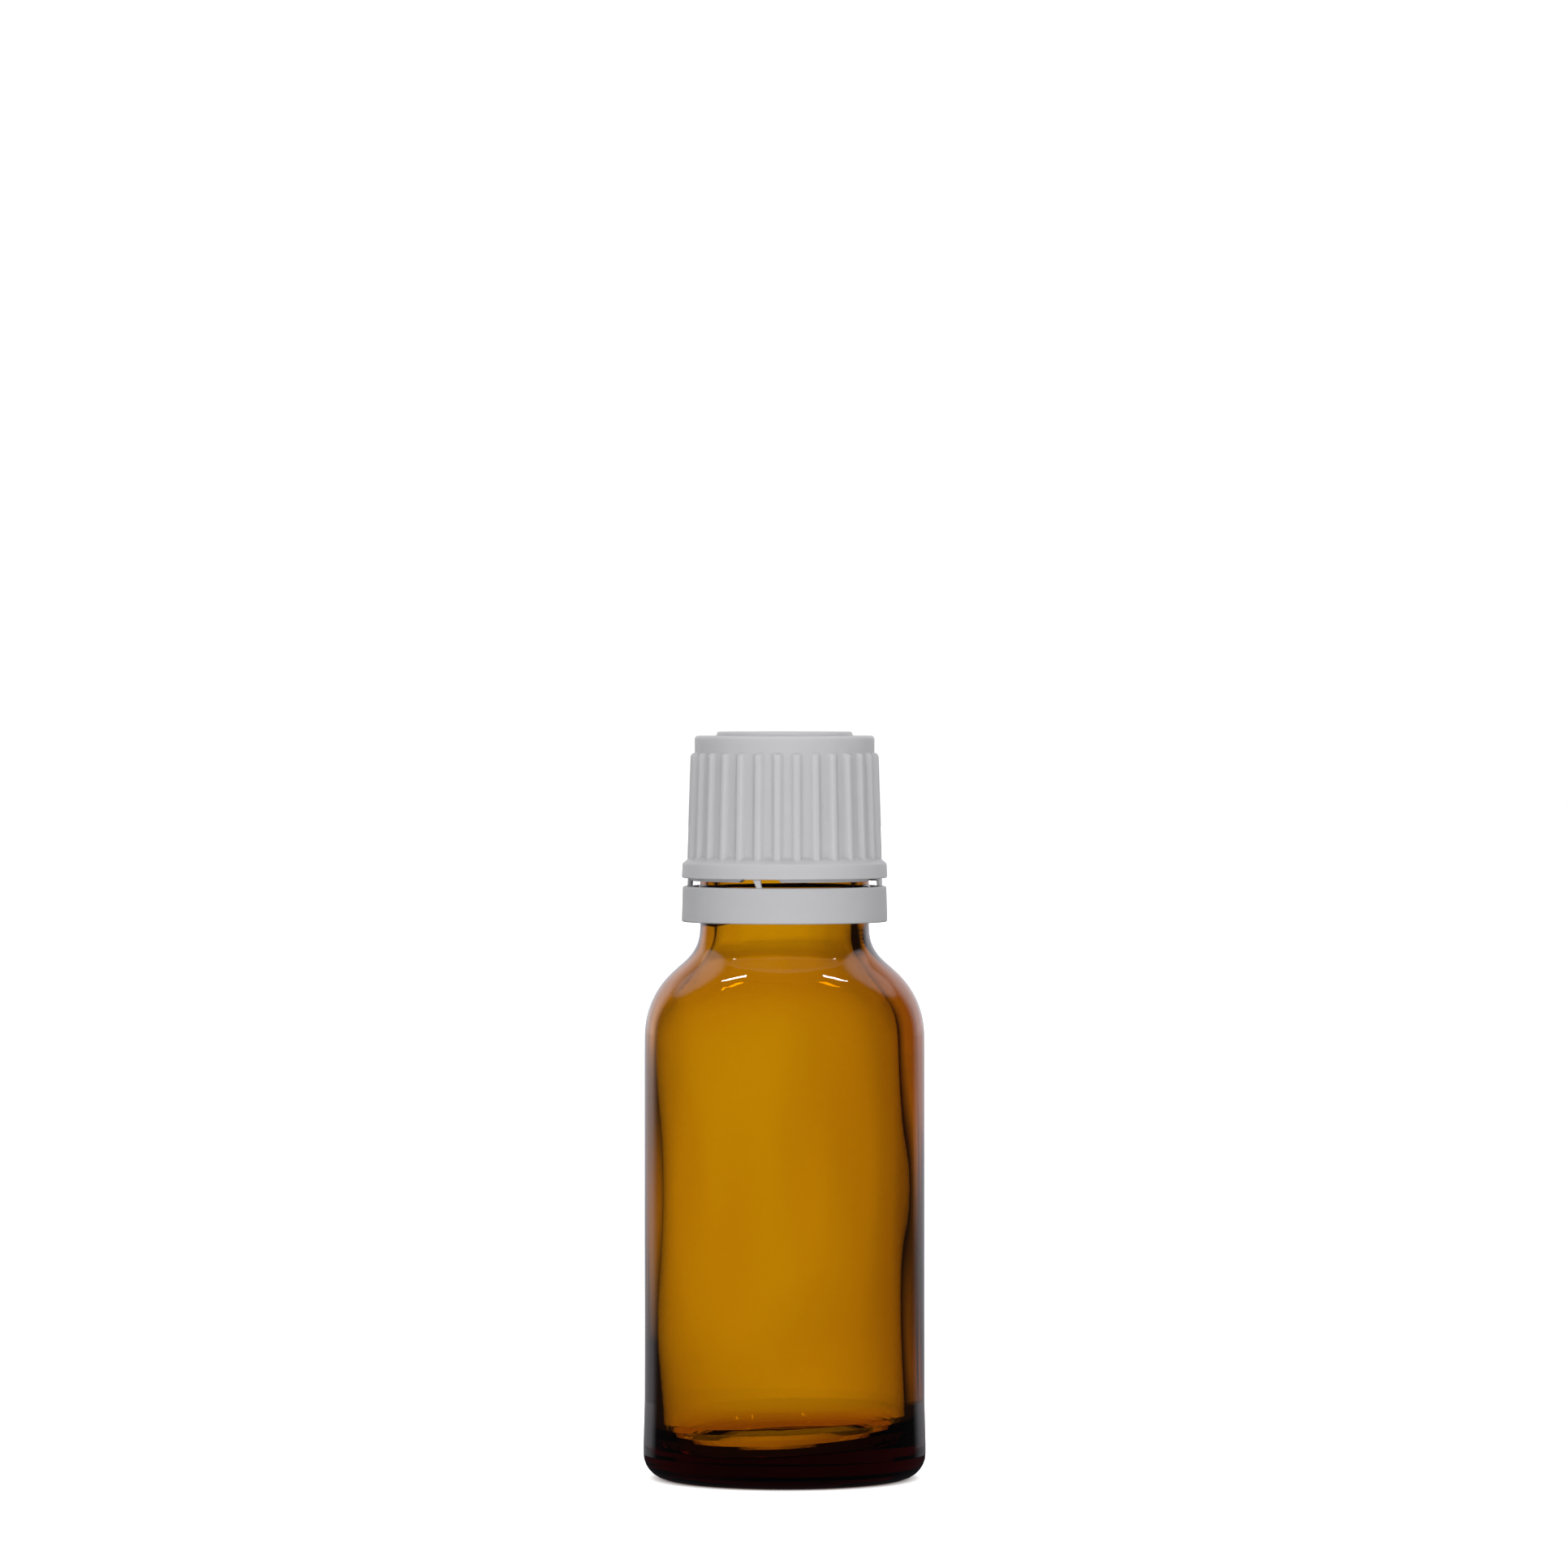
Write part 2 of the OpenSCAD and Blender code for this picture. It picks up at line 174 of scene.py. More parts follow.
world = bpy.data.worlds.new("studio")
bpy.context.scene.world = world
world.use_nodes = True
sky = world.node_tree
sky.nodes.clear()
ray = add_node(sky, "ShaderNodeLightPath")
direction = add_node(sky, "ShaderNodeTexCoord").outputs["Generated"]
way = add_node(sky, "ShaderNodeSeparateXYZ", {0: direction}).outputs
angle = add_node(sky, "ShaderNodeMath", {0: way["X"], 1: way["Y"]}, operation="ARCTAN2").outputs[0]

backdrop = add_node(sky, "ShaderNodeBackground", {"Color": colour("#FFFFFF"), "Strength": BACKDROP})

# %% World, through the glass
by_height = add_node(sky, "ShaderNodeMapRange", {
    0: way["Z"], "From Min": DIMMEST_BELOW, "From Max": DIM_BELOW,
    "To Min": DIMMEST_LEVEL * BEHIND_GLASS, "To Max": BEHIND_GLASS,
}).outputs[0]
by_angle = around(sky, angle, SEEN_THROUGH)
through_body = add_node(sky, "ShaderNodeBackground", {"Color": by_angle, "Strength": by_height}).outputs[0]
under_foot = add_node(
    sky, "ShaderNodeBackground", {"Color": colour("#000000"), "Strength": 0.0}
).outputs[0]
solid_only = add_node(
    sky, "ShaderNodeMath", {0: ray.outputs["Transmission Depth"], 1: SURFACES_OF_A_WALL},
    operation="LESS_THAN",
).outputs[0]
downwards = add_node(
    sky, "ShaderNodeMath", {0: way["Z"], 1: HEADING_DOWN}, operation="LESS_THAN"
).outputs[0]
to_foot = add_node(
    sky, "ShaderNodeMath", {0: solid_only, 1: downwards}, operation="MULTIPLY"
).outputs[0]
through = add_node(sky, "ShaderNodeMixShader", {0: to_foot, 1: through_body, 2: under_foot})

# %% World, in mirrors
above_foot = add_node(
    sky, "ShaderNodeMapRange", {0: way["Z"], "From Min": PANEL_FOOT, "From Max": PANEL_WHOLE}
).outputs[0]
below_top = add_node(sky, "ShaderNodeMapRange", {
    0: way["Z"], "From Min": PANEL_FADES, "From Max": PANEL_TOP, "To Min": 1.0, "To Max": 0.0,
}).outputs[0]
band = add_node(sky, "ShaderNodeMath", {0: above_foot, 1: below_top}, operation="MULTIPLY").outputs[0]
back_panel = add_node(
    sky, "ShaderNodeMath", {0: around(sky, angle, IN_MIRRORS), 1: band}, operation="MULTIPLY"
).outputs[0]
either_side = add_node(sky, "ShaderNodeMath", {0: way["X"]}, operation="ABSOLUTE").outputs[0]
folded = add_node(sky, "ShaderNodeCombineXYZ", {0: either_side, 1: way["Y"], 2: way["Z"]}).outputs[0]
nearness = add_node(
    sky, "ShaderNodeVectorMath", {0: folded, 1: TOP_PANELS}, operation="DOT_PRODUCT"
).outputs["Value"]
top_panel = add_node(
    sky, "ShaderNodeMapRange",
    {0: nearness, "From Min": TOP_EDGE, "From Max": TOP_WHOLE, "To Max": TOP_LEVEL},
    interpolation_type="SMOOTHSTEP",
).outputs[0]
panel = add_node(sky, "ShaderNodeMath", {0: back_panel, 1: top_panel}, operation="MAXIMUM").outputs[0]
dark = add_node(sky, "ShaderNodeBackground", {"Color": colour("#E6E2F0"), "Strength": DARK_ROOM})
white = add_node(sky, "ShaderNodeBackground", {"Color": colour("#F4F0F6"), "Strength": BACKDROP})
mirrored = add_node(sky, "ShaderNodeMixShader", {0: panel, 1: dark.outputs[0], 2: white.outputs[0]})

# %% World, as a lamp, and the choice for each ray
from_front = add_node(
    sky, "ShaderNodeMath", {0: way["Y"], 1: way["Y"]}, operation="MULTIPLY"
).outputs[0]
fill_level = add_node(
    sky, "ShaderNodeMapRange", {0: from_front, "To Min": FILL_FROM_SIDES, "To Max": FILL_FROM_FRONT}
).outputs[0]
fill = add_node(sky, "ShaderNodeBackground", {"Color": colour("#FFFFFF"), "Strength": fill_level})

has_bounced = add_node(
    sky, "ShaderNodeMath", {0: ray.outputs["Glossy Depth"], 1: ONE_MIRRORING}, operation="GREATER_THAN"
).outputs[0]
seen = add_node(sky, "ShaderNodeMixShader", {
    0: ray.outputs["Is Transmission Ray"], 1: backdrop.outputs[0], 2: through.outputs[0],
})
shiny = add_node(sky, "ShaderNodeMixShader", {0: has_bounced, 1: seen.outputs[0], 2: mirrored.outputs[0]})
lit = add_node(sky, "ShaderNodeMixShader", {
    0: ray.outputs["Is Diffuse Ray"], 1: shiny.outputs[0], 2: fill.outputs[0],
})
add_node(sky, "ShaderNodeOutputWorld", {"Surface": lit.outputs[0]})
bpy.context.scene.view_settings.view_transform = "Standard"


# %% Softboxes
SOFTBOX_PLACE, SOFTBOX_SIZE, SOFTBOX_POWER = (235, 66, 529), (20, 130), 0.24


def softbox(name, place, size, power):
    """A long narrow lamp at a place, turned to the vial. The round shoulder mirrors it as an arc."""
    data = bpy.data.lights.new(name, "AREA")
    data.shape = "RECTANGLE"
    data.size, data.size_y = size[0] * MM, size[1] * MM
    data.energy = power
    lamp = bpy.data.objects.new(name, data)
    bpy.context.scene.collection.objects.link(lamp)
    lamp.location = Vector(place) * MM
    lamp.rotation_euler = (aim - lamp.location).to_track_quat("-Z", "Y").to_euler()


for name, side in (("softbox_left", -1), ("softbox_right", 1)):
    out, back, up = SOFTBOX_PLACE
    softbox(name, (side * out, back, up), SOFTBOX_SIZE, SOFTBOX_POWER)


# %% [markdown]
# ## Turned meshes
#
# Every main piece of a vial is a body of revolution: an outline swept round the axis, then changed
# a little with the angle for threads, ribs and catches. So one function turns an outline, and each
# piece brings a small function that moves its points. The outline's corners carry their own radii.

# %% Outlines with rounded corners
def corner(before, here, after, steps):
    """The points of one corner, (r, z, radius), rounded between its neighbours."""
    a, b, c = (np.array(p[:2], float) for p in (before, here, after))
    if here[2] <= 0:
        return [b]
    u, v = (a - b) / np.linalg.norm(a - b), (c - b) / np.linalg.norm(c - b)
    half = math.acos(np.clip(u @ v, -1, 1)) / 2
    middle = b + (u + v) / np.linalg.norm(u + v) * here[2] / math.sin(half)
    start = b + u * here[2] / math.tan(half) - middle
    end = b + v * here[2] / math.tan(half) - middle
    first = math.atan2(start[1], start[0])
    sweep = (math.atan2(end[1], end[0]) - first + math.pi) % (2 * math.pi) - math.pi
    angles = first + sweep * np.linspace(0, 1, steps + 1)
    return [middle + here[2] * np.array([math.cos(t), math.sin(t)]) for t in angles]


def outline(corners, steps=6, closed=False):
    """An outline of (r, z) points with each corner rounded to its radius."""
    found = []
    last = len(corners) - 1
    for i, here in enumerate(corners):
        if not closed and i in (0, last):
            found.append(np.array(here[:2], float))
        else:
            found += corner(corners[i - 1], here, corners[(i + 1) % len(corners)], steps)
    return found


HOLD = 0.06  # a ring this near each end of a straight stretch keeps its shading straight


def dense(points, longest, closed=False):
    """The same outline with its straight stretches cut to at most longest(z) millimetres."""
    found = []
    count = len(points) if closed else len(points) - 1
    for i in range(count):
        a, b = points[i], points[(i + 1) % len(points)]
        length = np.linalg.norm(b - a)
        if length < 1e-6:
            continue
        shares = [0.0]
        if length > 4 * HOLD:
            pieces = max(1, math.ceil(length / longest((a[1] + b[1]) / 2)))
            shares += [HOLD / length, *(k / pieces for k in range(1, pieces)), 1 - HOLD / length]
        found += [a + (b - a) * s for s in shares]
    return found if closed else found + [points[-1]]


# %% Turning an outline
def turn(name, points, segments, shape=None, closed=False):
    """A mesh object: points (r, z) turned round +Z. shape(r, z, angle) gives the moved r and z."""
    r, z = np.array(points).T
    angle = 2 * math.pi * np.arange(segments) / segments
    rings_r, rings_z = np.repeat(r[:, None], segments, 1), np.repeat(z[:, None], segments, 1)
    rings_a = np.repeat(angle[None, :], len(r), 0)
    if shape:
        rings_r, rings_z = shape(rings_r, rings_z, rings_a)
    mesh = bmesh.new()
    rings = []
    for i in range(len(r)):
        if r[i] < 1e-6:
            rings.append([mesh.verts.new((0, 0, float(rings_z[i].mean()) * MM))])
        else:
            x, y = rings_r[i] * np.cos(rings_a[i]) * MM, rings_r[i] * np.sin(rings_a[i]) * MM
            rings.append([mesh.verts.new(p) for p in zip(x, y, rings_z[i] * MM)])
    pairs = list(zip(rings, rings[1:])) + ([(rings[-1], rings[0])] if closed else [])
    for low, high in pairs:
        for k in range(segments):
            n = (k + 1) % segments
            face = [low[k % len(low)], low[n % len(low)], high[n % len(high)], high[k % len(high)]]
            mesh.faces.new(list(dict.fromkeys(face)))
    bmesh.ops.recalc_face_normals(mesh, faces=mesh.faces)
    data = bpy.data.meshes.new(name)
    mesh.to_mesh(data)
    mesh.free()
    data.shade_smooth()
    made = bpy.data.objects.new(name, data)
    bpy.context.scene.collection.objects.link(made)
    print(f"{name}: {len(data.polygons)} faces")
    return made


def smooth(value, low, high):
    """0 below low, 1 above high, and a smooth step between."""
    t = np.clip((value - low) / (high - low), 0, 1)
    return t * t * (3 - 2 * t)


# %% [markdown]
# A screw thread is a ridge that climbs one pitch a turn. At each angle the function finds the
# nearest turn of the ridge and says how much of the ridge's height stands there, from 0 to 1.

# %% Screw thread
PITCH = 3.0
THREAD_TURNS = 1.4
GLASS_RIDGE = 1.7
CAP_RIDGE = PITCH - GLASS_RIDGE
THREAD_DEPTH = 0.7


def ridge(z, angle, start_z, start_angle, width):
    """The share of the ridge's height at each point."""
    share = np.zeros_like(z)
    for lap in range(-1, 3):
        turned = (angle - start_angle) / (2 * math.pi) + lap
        across = np.abs(z - start_z - PITCH * turned) / (width / 2)
        fade = smooth(turned, 0, 0.1) * smooth(THREAD_TURNS - turned, 0, 0.1)
        share = np.maximum(share, np.where(across < 1, 1 - np.minimum(across, 1) ** 3, 0) * fade)
    return share


# %% [markdown]
# ## The glass
#
# The vial is blow-moulded container glass. Its outside touched the mould and is nearly true, but
# its inside was only blown, so the wall is uneven: the bore wanders, and the floor came out tilted.
# Light bends differently wherever the wall changes, so the unevenness is in the mesh.

# %% Glass sizes
rim_z = glass_high.z
heel_r_out = glass_high.x
HEEL_SWELL = 0.12
body_r = heel_r_out - HEEL_SWELL
WALL = 1.9
FLOOR_Z = 3.5
FLOOR_TILT, TILT_TOWARDS = math.tan(math.radians(4.4)), math.radians(43)
HEEL_RADIUS, INNER_HEEL_RADIUS = 2.5, 3.0
FOOT_WIDTH, PUNT_DEPTH = 1.4, 1.2
THREAD_ROOT_R = insert_high.x + 0.4
NECK_R = THREAD_ROOT_R + 0.7
THROAT_R, MOUTH_R = NECK_R - 1.8, 5.8
BEAD_R, BEAD_HEIGHT = NECK_R + 0.6, 1.3
SHOULDER_ANGLE = math.radians(50)
NECK_FILLET, SHOULDER_ROUND = 3.9, 8.6
# How far below the rim the neck ends, and its bead, collar, thread and narrow mouth lie.
NECK_DROP, BEAD_DROP, COLLAR_DROP, THREAD_DROP, MOUTH_DROP = 15.4, 12.5, 8.3, 6.3, 8.4

half = math.tan(SHOULDER_ANGLE / 2)
neck_corner_z = rim_z - NECK_DROP - NECK_FILLET * half
body_corner_z = neck_corner_z - (body_r - NECK_R) / math.tan(SHOULDER_ANGLE)
cavity_r = body_r - WALL
cavity_corner_z = body_corner_z - WALL * half
throat_z = cavity_corner_z + (cavity_r - THROAT_R) / math.tan(SHOULDER_ANGLE)
bead_z = rim_z - BEAD_DROP
collar_z = rim_z - COLLAR_DROP
thread_z = rim_z - THREAD_DROP
mouth_foot_z = rim_z - MOUTH_DROP
punt_r = heel_r_out - HEEL_RADIUS - FOOT_WIDTH
print("cavity radius", round(cavity_r, 2))
print("shoulder from", round(body_corner_z, 1), "to", round(neck_corner_z, 1))

# %% Glass outline
punt = [(punt_r * s, PUNT_DEPTH * (1 - s * s), 0) for s in np.linspace(0, 1, 13)]
outside = [
    (heel_r_out, 0, HEEL_RADIUS), (heel_r_out, HEEL_RADIUS + 1, 0.8), (body_r, 8, 3),
    (body_r, body_corner_z, SHOULDER_ROUND), (NECK_R, neck_corner_z, NECK_FILLET),
    (NECK_R, bead_z - 0.3, 0.15), (BEAD_R, bead_z, 0.3), (BEAD_R, bead_z + BEAD_HEIGHT, 0.45),
    (NECK_R, bead_z + BEAD_HEIGHT + 0.35, 0.2), (NECK_R, collar_z, 0.2),
    (THREAD_ROOT_R, collar_z + 0.5, 0.2), (THREAD_ROOT_R, rim_z, 0.7),
]
inside = [
    (MOUTH_R, rim_z, 0.4), (MOUTH_R, mouth_foot_z, 0.6), (THROAT_R, mouth_foot_z - 0.9, 0.6),
    (THROAT_R, throat_z, NECK_FILLET + NECK_R - THROAT_R),
    (cavity_r, cavity_corner_z, SHOULDER_ROUND - WALL), (cavity_r, FLOOR_Z, INNER_HEEL_RADIUS),
    (0, FLOOR_Z + 0.3, 0),
]


def eased(points, low, high, reach):
    """The outline with its bends between two heights eased into each other, as soft glass flows."""
    flat = np.array(points)
    along = np.concatenate([[0], np.cumsum(np.linalg.norm(np.diff(flat, axis=0), axis=1))])
    offsets = np.linspace(-2.5, 2.5, 21)
    weights = np.exp(-offsets ** 2 / 2)
    found = []
    for here, s in zip(flat, along):
        if low < here[1] < high:
            near = s + offsets * reach
            eased_to = [np.interp(near, along, flat[:, k]) @ weights / weights.sum() for k in (0, 1)]
            here = np.array(eased_to)
        found.append(here)
    return found


def ring_gap(z):
    """How far apart two rings of the glass may be: close at the thread and the shoulder."""
    return 0.2 if z > collar_z else 0.45 if 40 < z < bead_z - 1 else 2.2


outer_points = eased(dense(outline(punt + outside, 7), ring_gap), 38, bead_z - 1.2, 0.7)
inner_points = eased(dense(outline(inside, 9), ring_gap), 36, mouth_foot_z - 3, 1.1)
glass_points = outer_points + inner_points
rings_outside = len(outer_points) - 1


# %% Uneven wall
def waves(z, angle, seed):
    """A smooth unevenness of about -1 to 1 that runs mostly up and down the wall."""
    random = np.random.default_rng(seed)
    total = np.zeros_like(z)
    for turns in (1, 2, 3, 5, 8, 13):
        for _ in range(2):
            slope, phase = random.uniform(-0.12, 0.12), random.uniform(0, 2 * math.pi)
            swing = np.cos(z * random.uniform(0.05, 0.22) + random.uniform(0, 2 * math.pi))
            total += np.sin(turns * angle + slope * z + phase) * swing / turns ** 0.6
    return total / 3


BORE_WANDER, BORE_OFFSET = 0.2, 0.14
SKIN_WANDER, FLOOR_WANDER = 0.02, 0.1
FOOT_THICKENING, CHILL_RIPPLE, RIPPLE_LENGTH = 0.08, 0.05, 1.4
SEAM_HEIGHT, SEAM_HALF_WIDTH = 0.05, 0.25
KNURLS, KNURL_DEPTH = 32, 0.12
GLASS_SEGMENTS = 192


def glass_shape(r, z, angle):
    """The mould seam, thread and knurled foot outside, and the uneven bore and tilted floor inside.

    Each smooth() fades an effect in or out between two heights, or between two radii.
    """
    ring = np.arange(len(r))[:, None]
    is_outside = ring <= rings_outside
    body = smooth(z, 5, 12) * (1 - smooth(z, body_corner_z - 2, rim_z - 17))
    seam = np.exp(-((np.sin(angle) * r) / SEAM_HALF_WIDTH) ** 2)
    seam = seam * smooth(z, 3, 6) * (1 - smooth(z, 52, 54))
    thread = ridge(z, angle, thread_z, 0.0, GLASS_RIDGE) * (z > collar_z) * (z < rim_z - 0.6)
    skin = SKIN_WANDER * waves(z, angle, 4) * body
    out_r = r + skin - SEAM_HEIGHT * (1 - seam) * body + THREAD_DEPTH * thread
    foot = (z < 0.02) & (r > punt_r + 0.05)
    out_z = z + np.where(foot, KNURL_DEPTH * (0.5 + 0.5 * np.cos(KNURLS * angle)), 0)
    blown = smooth(z, FLOOR_Z + 1, 14) * (1 - smooth(z, body_corner_z + 4, mouth_foot_z - 3))
    settled = FOOT_THICKENING * (1 - smooth(z, 6, 28)) * smooth(r, 8, 12)
    in_r = r - settled + (BORE_WANDER * waves(z, angle, 11) - BORE_OFFSET * np.cos(angle)) * blown
    low = 1 - smooth(z, FLOOR_Z, FLOOR_Z + 9)
    ripples = CHILL_RIPPLE * np.sin(r * 2 * math.pi / RIPPLE_LENGTH)
    ripples = ripples * smooth(r, 4, 7) * (1 - smooth(r, 10.5, 11.5))
    tilt = FLOOR_TILT * r * np.cos(angle - TILT_TOWARDS)
    in_z = z + (tilt + FLOOR_WANDER * waves(z, angle, 7) * smooth(r, 1, 6) + ripples) * low
    wide = r > 1e-6
    return np.where(wide, np.where(is_outside, out_r, in_r), r), np.where(is_outside, out_z, in_z)


glass = turn("amber_vial", glass_points, GLASS_SEGMENTS, glass_shape)
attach(glass, "bottle")
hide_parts("glass_bottle")

# %% [markdown]
# ## The cap
#
# The cap is one moulding: a smooth tier, thirty drafted ribs, a flange, and a thin lip that hangs
# inside the gap above the ring. Ribs are a change of radius with angle, so they run softly into the
# flange as a real moulding does. The lip is cut away beside each bridge, where the mould has its
# shut-off blocks.

# %% Cap sizes
cap_flange_r = cap_high.x
LIP_DROP = 0.3
cap_z = cap_low.z + LIP_DROP
DISC_HEIGHT, DISC_R = 0.42, 7.0
DIMPLE_R, DIMPLE_DEPTH = 1.4, 0.25
cap_top_z = cap_high.z - DISC_HEIGHT
SKIRT_R = cap_flange_r - 1.0
CAP_BORE_R, LIP_R = SKIRT_R - 0.8, SKIRT_R + 0.1
TIER_HEIGHT, TIER_R = 1.75, SKIRT_R - 0.34
tier_z = cap_top_z - TIER_HEIGHT
FLANGE_SIDE, FLANGE_SLOPE = 1.5, 0.7
skirt_z = cap_z + FLANGE_SIDE + FLANGE_SLOPE
RIBS, RIB_WIDTH, RIB_HEIGHT, FIRST_RIB = 30, 0.72, 0.42, math.radians(-94.5)
BRIDGES, FIRST_BRIDGE, WINDOW = 4, math.radians(-90 - 15.5), math.radians(25)
liner_bore_r = liner_high.x + 0.05
CAP_THREAD_START = math.radians(120)
cap_thread_z = thread_z - 1.25 + PITCH / 3
CAP_SEGMENTS, CAP_RING_GAP = 360, 0.31

# %% Cap outline and shape
cap_corners = [
    (0, cap_high.z - DIMPLE_DEPTH, 0), (DIMPLE_R, cap_high.z - DIMPLE_DEPTH, 0.1),
    (DIMPLE_R + 0.2, cap_high.z, 0.1), (DISC_R - 0.15, cap_high.z, 0.2),
    (DISC_R, cap_top_z, 0.1), (TIER_R, cap_top_z, 0.35), (TIER_R, tier_z, 0), (SKIRT_R, skirt_z, 0.4),
    (cap_flange_r - 0.07, cap_z + FLANGE_SIDE, 0.3), (cap_flange_r, cap_z, 0.15), (LIP_R, cap_z, 0.05),
    (LIP_R, cap_low.z, 0.1), (CAP_BORE_R, cap_low.z, 0.1), (CAP_BORE_R, rim_z - 1.1, 0.2),
    (liner_bore_r, rim_z - 0.5, 0.2), (liner_bore_r, liner_low.z - 0.7, 0.1),
    (liner_bore_r - 0.3, liner_low.z - 0.4, 0.1), (liner_bore_r, liner_low.z - 0.1, 0.05),
    (liner_bore_r, liner_high.z + 0.05, 0.1), (0, liner_high.z + 0.05, 0),
]


def nearest_angle(angle, first, count):
    """The angle from the nearest of count marks spaced evenly round the axis."""
    step = 2 * math.pi / count
    return (angle - first + step / 2) % step - step / 2


def rib_radius(z, angle):
    """The radius of the rib surface: a rounded crest on the drafted skirt, gone above the ribs."""
    draft = np.clip((z - skirt_z) / (tier_z - skirt_z), 0, 1)
    root = SKIRT_R + (TIER_R - SKIRT_R) * draft
    across = np.abs(nearest_angle(angle, FIRST_RIB, RIBS)) * root
    crest = 1 - smooth(across, RIB_WIDTH / 2 - 0.12, RIB_WIDTH / 2 + 0.16)
    top = np.sqrt(np.clip(1 - np.clip((z - tier_z + 0.45) / 0.45, 0, 1) ** 2, 0, 1))
    return root + RIB_HEIGHT * crest * top


def cap_shape(r, z, angle):
    """Ribs outside, thread inside, and the windows in the lip."""
    outer = (r > TIER_R - 0.01) & (z > cap_z + 0.5) & (z < tier_z + 0.05)
    new_r = np.where(outer, np.maximum(r, rib_radius(z, angle)), r)
    in_bore = (np.abs(r - CAP_BORE_R) < 0.01) & (z > cap_z + 0.5) & (z < rim_z - 1.3)
    thread = ridge(z, angle, cap_thread_z, CAP_THREAD_START, CAP_RIDGE)
    new_r = np.where(in_bore, r - THREAD_DEPTH * thread, new_r)
    away = np.abs(nearest_angle(angle, FIRST_BRIDGE, BRIDGES))
    keep = smooth(away, WINDOW / 2 - 0.008, WINDOW / 2 + 0.008)
    lip = (r < LIP_R + 0.08) & (z < cap_z - 0.01)
    new_z = np.where(lip, cap_z - (cap_z - z) * (0.03 + 0.97 * keep), z)
    return new_r, new_z


cap_points = dense(outline(cap_corners, 5), lambda z: CAP_RING_GAP)
cap = turn("screw_cap_shell", cap_points, CAP_SEGMENTS, cap_shape)
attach(cap, "cap")
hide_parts("screw_cap")

# %% [markdown]
# ## The tamper-evident ring and its bridges
#
# Eight catches inside the ring hook under the bead of the neck. The bridges are thin webs that
# lean a little, wide at the cap and narrow at the ring. They ride on the ring and end a hair short
# of the cap, like webs that have just torn.

# %% Ring
RING_BORE_R, CATCH_R = BEAD_R + 0.25, NECK_R + 0.2
CATCHES, CATCH_SPAN = 8, math.radians(32)
BAND_SEGMENTS, BAND_RING_GAP = 256, 0.15
ring_corners = [
    (RING_BORE_R, ring_low.z, 0.1), (ring_high.x, ring_low.z, 0.2),
    (ring_high.x - 0.1, ring_high.z, 0.2), (RING_BORE_R, ring_high.z, 0.1),
]
ring_points = dense(outline(ring_corners, 6, True), lambda z: BAND_RING_GAP, True)
catch_top = bead_z - 0.2


def ring_shape(r, z, angle):
    """Catches stand inwards from the bore, with a ramp below and a flat top."""
    away = np.abs(nearest_angle(angle, CATCH_SPAN / 2, CATCHES))
    there = 1 - smooth(away, CATCH_SPAN / 2 - 0.02, CATCH_SPAN / 2 + 0.01)
    height = smooth(z, ring_low.z + 0.2, ring_low.z + 1.2) * (1 - smooth(z, catch_top - 0.1, catch_top))
    return np.where(r < RING_BORE_R + 0.01, r - (RING_BORE_R - CATCH_R) * there * height, r), z


ring = turn("tamper_band", ring_points, BAND_SEGMENTS, ring_shape, True)
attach(ring, "ring")
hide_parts("tamper_ring")

# %% Bridges
BRIDGE_OUT_R, BRIDGE_THICK = cap_flange_r - 0.25, 0.5
BRIDGE_TOP, BRIDGE_FOOT, BRIDGE_LEAN = 0.85, 0.6, 0.24


def bridge(i):
    """A leaning web with rounded edges, lofted from its foot on the ring to its head at the cap."""
    low, high = in_mm(f"bridge_{i}")
    mesh = bmesh.new()
    rings = []
    for share in np.linspace(0, 1, 9):
        z = low.z + (high.z - low.z) * share
        width = BRIDGE_FOOT + (BRIDGE_TOP - BRIDGE_FOOT) * share ** 2
        x = BRIDGE_LEAN * (0.5 - share)
        radius = BRIDGE_OUT_R - BRIDGE_THICK / 2
        loop = []
        for t in np.linspace(0, 2 * math.pi, 25)[:-1]:
            c, s = math.cos(t), math.sin(t)
            side = math.copysign(abs(c) ** 0.5, c) * width / 2
            deep = math.copysign(abs(s) ** 0.5, s) * BRIDGE_THICK / 2
            loop.append(mesh.verts.new(Vector((x + side, -radius - deep, z)) * MM))
        rings.append(loop)
    for a, b in zip(rings, rings[1:]):
        for k in range(len(a)):
            n = (k + 1) % len(a)
            mesh.faces.new([a[k], a[n], b[n], b[k]])
    mesh.faces.new(rings[0])
    mesh.faces.new(rings[-1])
    bmesh.ops.recalc_face_normals(mesh, faces=mesh.faces)
    turned = FIRST_BRIDGE + math.radians(90) + (i - 1) * 2 * math.pi / BRIDGES
    bmesh.ops.rotate(mesh, verts=mesh.verts, cent=(0, 0, 0), matrix=Matrix.Rotation(turned, 3, "Z"))
    data = bpy.data.meshes.new(f"web_{i}")
    mesh.to_mesh(data)
    mesh.free()
    data.shade_smooth()
    made = bpy.data.objects.new(f"web_{i}", data)
    bpy.context.scene.collection.objects.link(made)
    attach(made, "ring")
    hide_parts(f"bridge_{i}")
    return made


webs = [bridge(i) for i in range(1, BRIDGES + 1)]

# %% [markdown]
# ## Materials
#
# ### Amber container glass
# Iron and sulphur colour the glass through and through, so its colour is in the volume and not on
# the surface: the thin wall is golden, and the thick foot is nearly black. Light falls off with
# distance at a rate for each colour, which one density and one colour give together.

# %% Amber glass
GLASS_IOR = 1.52
# The shares of red, green and blue that the volume does not absorb, then alpha, as linear numbers.
AMBER_PASSES, AMBER_DENSITY = [0.925, 0.827, 0.0, 1.0], 2400.0


def material(name):
    """An empty node material and its tree."""
    made = bpy.data.materials.new(name)
    made.use_nodes = True
    made.node_tree.nodes.clear()
    return made, made.node_tree


